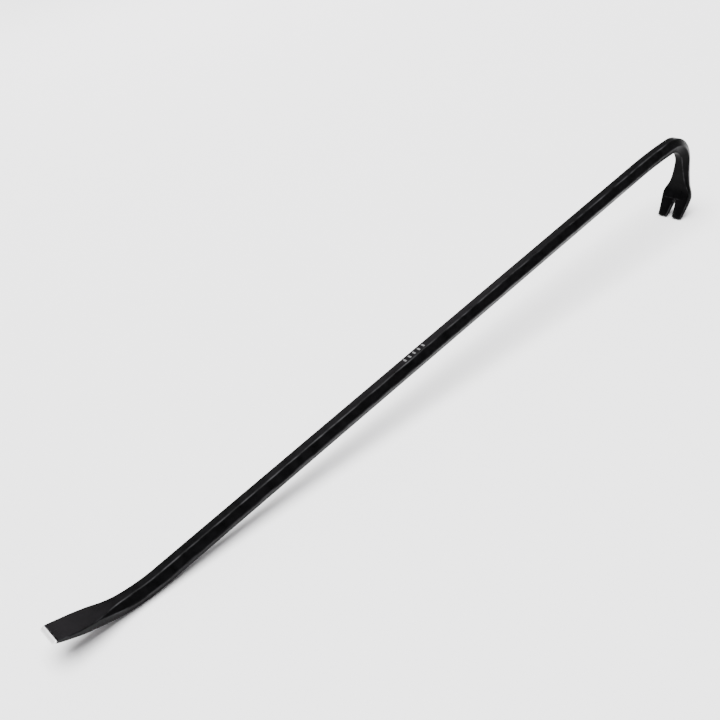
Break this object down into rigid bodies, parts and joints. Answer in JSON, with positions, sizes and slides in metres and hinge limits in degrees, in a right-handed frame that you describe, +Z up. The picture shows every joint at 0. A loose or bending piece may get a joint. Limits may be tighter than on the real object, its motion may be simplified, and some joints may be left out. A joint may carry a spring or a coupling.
{
  "type": "pry bar",
  "caption": "Hexagonal steel pry bar with a bent flat chisel at one end and a gooseneck with a slotted nail claw at the other.",
  "frame": {"origin": "on the floor, below the middle of the bar's bounding box, with the bar resting on its two claw tips and on the heel of the chisel bend", "axes": "+X along the bar towards the gooseneck, +Z up, +Y across the width, to the left when looking along +X"},
  "size_m": [1.0116, 0.042, 0.1124],
  "materials": {
    "black_enamel": "satin black enamel over forged steel",
    "ground_steel": "bare steel, freshly ground"
  },
  "bodies": {
    "root": {"chisel_edge": "ground_steel", "chisel_blade": "black_enamel", "chisel_neck": "black_enamel", "hex_shank": "black_enamel", "gooseneck": "black_enamel", "claw_palm": "black_enamel", "claw_tine_left": "black_enamel", "claw_tine_right": "black_enamel"}
  },
  "joints": []
}
